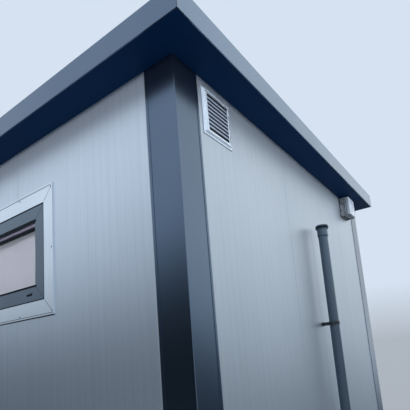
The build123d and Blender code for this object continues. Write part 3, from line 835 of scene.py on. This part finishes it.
@dataclass
class Door:
    """The door with its seal, its lock, and the rivets and lines of its flashing."""

    seal_reach: float = 2.6 * MM
    seal_width: float = 2.2 * MM
    seal_depth: float = 8 * MM
    seal_top_depth: float = 2 * MM
    plate_height: float = 8 * MM
    lock_edge: float = 21 * MM
    cylinder_rise: float = 45 * MM
    cylinder_radius: float = 9 * MM
    cylinder_height: float = 3 * MM
    screw_edge: float = 14 * MM
    screw_radius: float = 3.5 * MM
    screw_height: float = 1.5 * MM
    face_height: float = 3 * MM
    # A thin black line beside the hem: painted shadow of the hem
    hem_inset: float = 12 * MM
    hem_shadow_line: float = 1.6 * MM
    line_foot: float = 2 * MM
    line_top: float = 3.4 * MM
    mitre_width: float = 2.2 * MM
    flashing_lap: float = 5 * MM
    # The black line in the inner gap round the frame: partly the gap, partly painted shadow
    shadow_line_width: float = 5 * MM
    shadow_line_height: float = 1.5 * MM
    rivet_radius: float = 5 * MM
    rivet_height: float = 2.2 * MM
    rivet_edge: float = 20 * MM
    side_rivets: int = 6
    head_rivets: int = 3

    def build(self) -> None:
        """Dress the door's nodes and add its details."""
        dress(TRIM, "door_frame", "door_leaf")
        dress(FLASHING, "door_flashing")
        dress(STAINLESS, "door_hinges", "door_handle")
        low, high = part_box("door_leaf")
        plate_low, plate_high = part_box("door_handle")
        front = Place((0.0, low.y, 0.0), (1.0, 0.0, 0.0))
        seal, reach = Shape(front), self.seal_reach
        seal.ring(
            (low.x - reach, low.z - reach), (high.x + reach, high.z + reach), self.seal_width,
            -self.seal_depth, -self.seal_top_depth,
        )
        seal.piece("door_seal", RUBBER, "seal_rubber")
        middle, plate = plate_high.x - self.lock_edge, self.plate_height
        lock = Shape(front)
        lock.rod(
            (middle, plate_low.z + self.cylinder_rise, plate), self.cylinder_radius, self.cylinder_height, sides=24
        )
        for height in (plate_low.z + self.screw_edge, plate_high.z - self.screw_edge):
            lock.dome((middle, height, plate), self.screw_radius, self.screw_height)
        lock.piece("door_lock", STAINLESS, "bare_steel")
        self.flashing_details()

    def flashing_details(self) -> None:
        """Add the painted shadow line beside the hem, the mitres, the rivets, and the black line in the inner gap,
        partly painted shadow, of the flashing on both sides and over the door.
        """
        low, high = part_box("door_flashing")
        frame_low, frame_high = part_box("door_frame")
        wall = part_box("front_wall_piers")[0].y
        front = Place((0.0, wall, 0.0), (1.0, 0.0, 0.0))
        seams, inset, lap = Shape(front), self.hem_inset, self.flashing_lap
        foot, top = self.line_foot, self.line_top
        # Painted shadow beside the hem, and the black line in the inner gap, partly painted shadow
        for left, right, head, width, start, end in (
            (low.x + inset, high.x - inset, high.z - inset, self.hem_shadow_line, foot, top),
            (frame_low.x + lap, frame_high.x - lap, frame_high.z - lap, self.shadow_line_width, -SUNK, self.shadow_line_height),
        ):
            for near in (left, right - width):
                seams.block((near, low.z, start), (near + width, head, end))
            seams.block((left, head - width, start), (right, head, end))
        for outer, inner in ((low.x, frame_low.x), (high.x, frame_high.x)):
            seams.seam((outer, high.z), (inner, frame_high.z), self.mitre_width, foot, top)
        seams.piece("door_flashing_lines_and_painted_shade", RUBBER, "seal_rubber")
        rivets = Shape(front)
        left, right = low.x + self.rivet_edge, high.x - self.rivet_edge
        head, bottom = high.z - self.rivet_edge, low.z + 2 * self.rivet_edge
        rise = (head - bottom) / (self.side_rivets - 1)
        pitch = (right - left) / (self.head_rivets + 1)
        spots = [(x, bottom + row * rise) for x in (left, right) for row in range(self.side_rivets)]
        spots += [(left + (i + 1) * pitch, head) for i in range(self.head_rivets)]
        for u, v in spots:
            rivets.dome((u, v, self.face_height), self.rivet_radius, self.rivet_height)
        rivets.piece("door_flashing_rivets", TRIM, "bare_steel")


@dataclass
class Vent:
    """The louvred vent with its hem, its screws, a painted shadow line beside its face, and a black sheet behind its
    blades that is partly insect mesh and partly painted shade.
    """

    face_height: float = 13 * MM
    face_inset: float = 20 * MM
    hem_width: float = 3 * MM
    hem_foot: float = 2.5 * MM
    hem_top: float = 4.5 * MM
    screw_edge: float = 22 * MM
    screw_rise: float = 55 * MM
    screw_radius: float = 3.5 * MM
    screw_height: float = 1.5 * MM
    mesh_edge: float = 28 * MM
    mesh_height: float = 12 * MM
    # A thin black line along the top and the right of the face: painted shadow beside the raised face
    shadow_line_width: float = 4.5 * MM
    shadow_line_foot: float = 12.5 * MM
    shadow_line_top: float = 13.3 * MM

    def build(self) -> None:
        """Dress the vent's nodes and add its details."""
        dress(VENT_METAL, "vent_frame")
        dress(VENT_BLADE, "vent_blades")
        low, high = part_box("vent_frame")
        place = Place((high.x - self.face_height, 0.0, 0.0), (0.0, 1.0, 0.0))
        hem = Shape(place)
        hem.ring((low.y, low.z), (high.y, high.z), self.hem_width, self.hem_foot, self.hem_top)
        hem.piece("vent_hem", VENT_METAL, "vent_aluminium")
        screws = Shape(place)
        for u in (low.y + self.screw_edge, high.y - self.screw_edge):
            for v in (low.z + self.screw_rise, high.z - self.screw_rise):
                screws.dome((u, v, self.face_height), self.screw_radius, self.screw_height)
        screws.piece("vent_screws", STAINLESS, "bare_steel")
        mesh_low, mesh_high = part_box("vent_blades")
        # A flat black sheet just behind the blade lips: partly the insect mesh, partly painted shade of the vent's dark
        # inside
        net_and_shade = Shape(place)
        net_and_shade.block(
            (mesh_low.y, low.z + self.mesh_edge, self.mesh_height - SUNK),
            (mesh_high.y, high.z - self.mesh_edge, self.mesh_height),
        )
        # Black strips along the top and the right of the face: painted shadow
        inset, width, foot, top = self.face_inset, self.shadow_line_width, self.shadow_line_foot, self.shadow_line_top
        net_and_shade.block((low.y + inset, high.z - inset - width, foot), (high.y - inset, high.z - inset, top))
        net_and_shade.block((high.y - inset - width, low.z + inset, foot), (high.y - inset, high.z - inset - width, top))
        net_and_shade.piece("vent_mesh_and_painted_shade", RUBBER, "seal_rubber")


@dataclass
class WallPipe:
    """The pipe with its seal, its clips and the dark bands of its socket."""

    half_clip: float = 14 * MM
    bolt_offset: float = 46 * MM
    bolt_foot: float = 6 * MM
    bolt_radius: float = 4.5 * MM
    bolt_height: float = 3 * MM
    ring_radius: float = 46 * MM
    ring_fall: float = 27 * MM
    ring_band: float = 15 * MM
    socket_radius: float = 37.8 * MM
    socket_length: float = 87 * MM
    socket_line: float = 4 * MM
    band_depth: float = 0.5 * MM
    band_height: float = 0.6 * MM

    def build(self) -> None:
        """Dress the pipe's nodes, and add the clips' screws and the socket's bands."""
        dress(PIPE_PVC, "vent_pipe")
        dress(RUBBER, "pipe_seal")
        dress(NYLON, "pipe_clips")
        low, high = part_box("pipe_clips")
        pipe_low, pipe_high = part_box("vent_pipe")
        centre_x, middle_y = (pipe_low.x + pipe_high.x) / 2, (pipe_low.y + pipe_high.y) / 2
        screws = Shape(Place((centre_x + self.bolt_foot, 0.0, 0.0), (0.0, 1.0, 0.0)))
        for height in (high.z - self.half_clip, low.z + self.half_clip):
            for across in (middle_y - self.bolt_offset, middle_y + self.bolt_offset):
                screws.rod((across, height, 0.0), self.bolt_radius, self.bolt_height, sides=6)
        screws.piece("clip_screws", STAINLESS, "bare_steel")
        bands = Shape(Place((centre_x, middle_y, pipe_high.z), (1.0, 0.0, 0.0), (0.0, 1.0, 0.0)))
        for radius, fall, height in (
            (self.ring_radius, self.ring_fall, self.ring_band),
            (self.socket_radius, self.socket_length, self.socket_line),
        ):
            bands.band((0.0, 0.0, -fall), radius - self.band_depth, radius + self.band_height, height)
        bands.piece("pipe_bands", RUBBER, "seal_rubber")


@dataclass
class BulkheadLight:
    """The light under the eaves with its gasket, which is partly painted shadow at the wall, its rim, its drain plugs
    and its cover screws.
    """

    soft_edge: float = 1.5 * MM
    # The gasket stands out round the body at the wall: partly a real gasket, partly painted shadow where the body meets
    # the wall
    gasket_depth: float = 6 * MM
    gasket_and_shadow_reach: float = 3 * MM
    rim_reach: float = 2.5 * MM
    rim_depth: float = 9 * MM
    gap_depth: float = 4 * MM
    gap_reach: float = 0.6 * MM
    plug_places: tuple[float, ...] = (-62 * MM, -18 * MM, 34 * MM, 68 * MM)
    plug_radius: float = 9 * MM
    plug_height: float = 6 * MM
    screw_edge: float = 28 * MM
    screw_sunk: float = 0.8 * MM
    screw_radius: float = 4 * MM
    screw_height: float = 1.2 * MM

    def build(self) -> None:
        """Dress the light's nodes and add its details."""
        dress(LAMP_BODY, "light_base")
        dress(LAMP_COVER, "light_cover")
        low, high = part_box("light_base")
        place = Place((low.x, 0.0, 0.0), (0.0, 1.0, 0.0))
        gasket, rim = Shape(place), Shape(place)
        joint = high.x - low.x
        front = joint + self.rim_depth
        for shape, reach, foot, top, edge in (
            (gasket, self.gasket_and_shadow_reach, 0.0, self.gasket_depth, self.soft_edge),
            (gasket, self.gap_reach, joint - self.gap_depth, joint, 0.0),
            (gasket, self.gap_reach, front, front + self.gap_depth, 0.0),
            (rim, self.rim_reach, joint, front, self.soft_edge),
        ):
            shape.block((low.y - reach, low.z - reach, foot), (high.y + reach, high.z + reach, top), edge)
        gasket.piece("light_gasket_and_painted_shadow", RUBBER, "seal_rubber")
        rim.piece("light_rim", LAMP_COVER, "light_plastic")
        plugs = Shape(Place((low.x, 0.0, low.z), (0.0, 1.0, 0.0), (1.0, 0.0, 0.0)))
        middle = (low.y + high.y) / 2
        for offset in self.plug_places:
            plugs.rod((middle + offset, joint / 2, -SUNK), self.plug_radius, self.plug_height, sides=14)
        plugs.piece("light_drain_plugs", RUBBER, "seal_rubber")
        low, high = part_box("light_cover")
        edge = self.screw_edge
        screws = Shape(Place((high.x, 0.0, 0.0), (0.0, 1.0, 0.0)))
        for u in (low.y + edge, high.y - edge):
            for v in (low.z + edge, high.z - edge):
                screws.dome((u, v, -self.screw_sunk), self.screw_radius, self.screw_height)
        screws.piece("light_screws", STAINLESS, "bare_steel")


@dataclass(frozen=True)
class Surround:
    """What stands round the studio on one side, as colours by height from the floor to the sky."""

    LOWEST = -0.6
    HIGHEST = 0.7

    stops: tuple[tuple[float, str], ...]
    side: tuple[float, float, float] = (0.0, 0.0, 0.0)
    edge: float = 0.0
    full: float = 1.0
    slope: tuple[float, float, float] = (0.0, 0.0, 1.0)
    lift: float = 0.0

    def colour(self, tree: bpy.types.NodeTree, toward: Source) -> Source:
        """Add the nodes that give its colour by height.

        Args:
            tree: The node tree.
            toward: The direction from the middle of the studio.

        Returns:
            The colour.
        """
        height = add_node(
            tree, "VectorMath", {"operation": "DOT_PRODUCT", 1: self.slope}, {0: toward}
        ).outputs["Value"]
        low, high = self.LOWEST - self.lift, self.HIGHEST - self.lift
        place = add_node(tree, "MapRange", {"From Min": low, "From Max": high}, {"Value": height})
        ramp = add_node(tree, "ValToRGB", links={0: place})
        self.paint(ramp.color_ramp)
        return ramp

    def paint(self, ramp: bpy.types.ColorRamp) -> None:
        """Put the stops on a colour ramp.

        Args:
            ramp: The ramp, with the two stops that it starts with.
        """
        first, last = self.stops[0], self.stops[-1]
        for stop, (_, code) in ((ramp.elements[0], first), (ramp.elements[1], last)):
            stop.color = linear(code)
        for height, code in self.stops[1:-1]:
            ramp.elements.new((height - self.LOWEST) / (self.HIGHEST - self.LOWEST)).color = linear(code)


# Pale floor and sky all round
SKY = Surround(((-0.6, "#A4AAB2"), (0.0, "#AEB6C0"), (0.13, "#D6E2F1"), (0.7, "#D6E2F1")))
# A dark card on the front left and a grey one on the back right, both pale at the top
CARDS = {
    "dark_card": Surround(
        (
            (-0.6, "#3A434C"), (-0.42, "#1A242C"), (-0.24, "#06161F"), (0.03, "#06161D"), (0.08, "#22303B"),
            (0.13, "#8292A3"), (0.18, "#D0DCEA"), (0.28, "#DCE8F6"), (0.7, "#DCE8F6"),
        ),
        side=(-0.72, -0.69, 0.0),
        edge=0.62,
        full=0.86,
        slope=(-0.5, 0.0, 1.0),
        lift=-0.423,
    ),
    "grey_card": Surround(
        (
            (-0.6, "#5A636C"), (-0.36, "#4A545D"), (-0.23, "#3A4852"), (-0.12, "#6A7885"), (-0.04, "#BAC6D1"),
            (0.02, "#E2ECF6"), (0.10, "#F2FAFF"), (0.20, "#F6FBFF"), (0.7, "#F6FBFF"),
        ),
        side=(0.42, 0.906, 0.0),
        edge=0.72,
        full=0.9,
        slope=(-0.5, 0.0, 1.0),
        lift=0.18,
    ),
}


@dataclass(frozen=True)
class Softbox:
    """A long soft lamp, with a grid in front that keeps its light near the level of the eaves."""

    name: str
    place: tuple[float, float, float]
    aim: tuple[float, float, float]
    watts: float
    colour: str = "#F4F8FF"
    width: float = 8.0
    height: float = 1.4
    spread: float = math.radians(42)

    def build(self) -> None:
        """Make the lamp, which shows neither to the camera nor in the gloss."""
        data = bpy.data.lights.new(self.name, "AREA")
        data.shape, data.size, data.size_y = "RECTANGLE", self.width, self.height
        data.energy, data.spread = self.watts, self.spread
        data.color = linear(self.colour)[:3]
        made = add_object(self.name, data)
        made.location = self.place
        made.rotation_euler = (Vector(self.aim) - Vector(self.place)).to_track_quat("-Z", "Y").to_euler()
        made.visible_glossy = False
        made.visible_camera = False


SOFTBOXES = (
    Softbox("key_softbox", (9.5, 0.5, 3.3), (0.0, 0.5, 3.3), 112.0),
    Softbox("front_softbox", (0.0, -8.0, 3.3), (0.0, 0.0, 3.3), 140.0),
)


@dataclass
class Studio:
    """Pale floor, sky, cards, softboxes and the camera."""

    floor_colour: str = "#C6CACE"
    floor_shade: str = "#BEC2C7"
    floor_patch: float = 0.4
    floor_octaves: float = 5.0
    floor_roughness: float = 0.85
    floor_specular: float = 0.2
    floor_start: float = 3.4
    floor_radius: float = 4.9
    floor_rim: float = 0.5
    floor_drop: float = 1 * MM
    card_distance: float = 150.0
    card_spare: float = 0.1
    sensor_mm: float = 36.0
    lens_mm: float = 34.79
    shift: float = 0.2
    nearest: float = 0.05
    farthest: float = 200.0
    yaw: float = math.radians(35.19)
    pitch: float = math.radians(9.67)
    roll: float = math.radians(4.49)
    eye: tuple[float, float, float] = (4.000, -2.713, 1.329)

    def build(self) -> None:
        """Make the world, the cards, the lamps, the floor and the camera."""
        self.world()
        for name, look in CARDS.items():
            self.card(name, look)
        for softbox in SOFTBOXES:
            softbox.build()
        self.floor()
        self.camera()

    def world(self) -> None:
        """Make one pale sky, the same for every ray."""
        sky = bpy.data.worlds.new("studio_sky")
        bpy.context.scene.world = sky
        sky.use_nodes = True
        tree = sky.node_tree
        tree.nodes.clear()
        toward = add_node(tree, "TexCoord").outputs["Generated"]
        light = add_node(tree, "Background", {"Strength": 1.0}, {"Color": SKY.colour(tree, toward)})
        add_node(tree, "OutputWorld", links={"Surface": light})

    def card(self, name: str, look: Surround) -> None:
        """Stand a tall curved card far out on one side, for the coatings to mirror.

        It is studio gear as the softboxes are, so like them it doesn't show to the camera. It doesn't show
        through the panes either.

        Args:
            name: The card's name.
            look: Its side and its colours.
        """
        made = empty_material(name)
        tree = made.node_tree
        place = add_node(tree, "TexCoord").outputs["Object"]
        toward = add_node(tree, "VectorMath", {"operation": "NORMALIZE"}, {0: place})
        flat = add_node(tree, "VectorMath", {"operation": "MULTIPLY", 1: (1.0, 1.0, 0.0)}, {0: toward})
        level = add_node(tree, "VectorMath", {"operation": "NORMALIZE"}, {0: flat})
        facing = add_node(
            tree, "VectorMath", {"operation": "DOT_PRODUCT", 1: look.side}, {0: level}
        ).outputs["Value"]
        fade = {"interpolation_type": "SMOOTHSTEP", "From Min": look.edge, "From Max": look.full}
        share = add_node(tree, "MapRange", fade, {"Value": facing})
        clear = add_node(tree, "BsdfTransparent")
        glow = add_node(tree, "Emission", links={"Color": look.colour(tree, toward)})
        both = add_node(tree, "MixShader", links={0: share, 1: clear, 2: glow})
        add_node(tree, "OutputMaterial", links={"Surface": both})
        shell = bmesh.new()
        bmesh.ops.create_uvsphere(shell, u_segments=96, v_segments=48, radius=self.card_distance)
        side = Vector(look.side).xy
        far = [
            face for face in shell.faces
            if face.calc_center_median().xy.normalized().dot(side) < look.edge - self.card_spare
        ]
        bmesh.ops.delete(shell, geom=far, context="FACES")
        stand = add_object(name, finished_mesh(shell, name, made))
        stand.visible_camera = False
        stand.visible_transmission = False

    def floor(self) -> None:
        """Make the pale floor, which fades into the sky at its edge."""
        made = empty_material("studio_floor")
        tree = made.node_tree
        place = add_node(tree, "TexCoord").outputs["Object"]
        patches = {"Scale": 1 / self.floor_patch, "Detail": self.floor_octaves}
        grain = add_node(tree, "TexNoise", patches, {"Vector": place})
        tones = {"data_type": "RGBA", 6: linear(self.floor_colour), 7: linear(self.floor_shade)}
        tone = add_node(tree, "Mix", tones, {0: grain}).outputs[2]
        gloss = {"Roughness": self.floor_roughness, "Specular IOR Level": self.floor_specular}
        matt = add_node(tree, "BsdfPrincipled", gloss, {"Base Color": tone})
        away = add_node(tree, "VectorMath", {"operation": "LENGTH"}, {0: place}).outputs["Value"]
        edge = {"interpolation_type": "SMOOTHSTEP", "From Min": self.floor_start, "From Max": self.floor_radius}
        fade = add_node(tree, "MapRange", edge, {"Value": away})
        clear = add_node(tree, "BsdfTransparent")
        both = add_node(tree, "MixShader", links={0: fade, 1: matt, 2: clear})
        add_node(tree, "OutputMaterial", links={"Surface": both})
        disc = bmesh.new()
        bmesh.ops.create_circle(disc, cap_ends=True, segments=96, radius=self.floor_radius + self.floor_rim)
        bmesh.ops.translate(disc, vec=(0.0, 0.0, -self.floor_drop), verts=disc.verts[:])
        add_object("studio_floor", finished_mesh(disc, "studio_floor", made))

    def camera(self) -> None:
        """Make the camera: low, close to the near corner, looking up and slightly rolled."""
        data = bpy.data.cameras.new("camera")
        data.sensor_width, data.lens, data.shift_y = self.sensor_mm, self.lens_mm, self.shift
        data.clip_start, data.clip_end = self.nearest, self.farthest
        made = add_object("camera", data)
        forward = Vector((
            -math.sin(self.yaw) * math.cos(self.pitch),
            math.cos(self.yaw) * math.cos(self.pitch),
            math.sin(self.pitch),
        ))
        right = Vector((math.cos(self.yaw), math.sin(self.yaw), 0.0))
        down = forward.cross(right)
        across = math.cos(self.roll) * right + math.sin(self.roll) * down
        lower = -math.sin(self.roll) * right + math.cos(self.roll) * down
        turned = Matrix((across, -lower, -forward)).transposed().to_4x4()
        made.matrix_world = Matrix.Translation(self.eye) @ turned
        bpy.context.scene.camera = made


def main() -> None:
    """Build the cabin's looks and the studio, in order."""
    logging.basicConfig(level=logging.INFO, format="%(message)s")
    bpy.context.scene.view_settings.view_transform = "Standard"
    Shell().build()
    RoofEdge().build()
    Window("left").build()
    Window("right").build()
    Door().build()
    Vent().build()
    WallPipe().build()
    BulkheadLight().build()
    Studio().build()


if __name__ == "__main__":
    main()
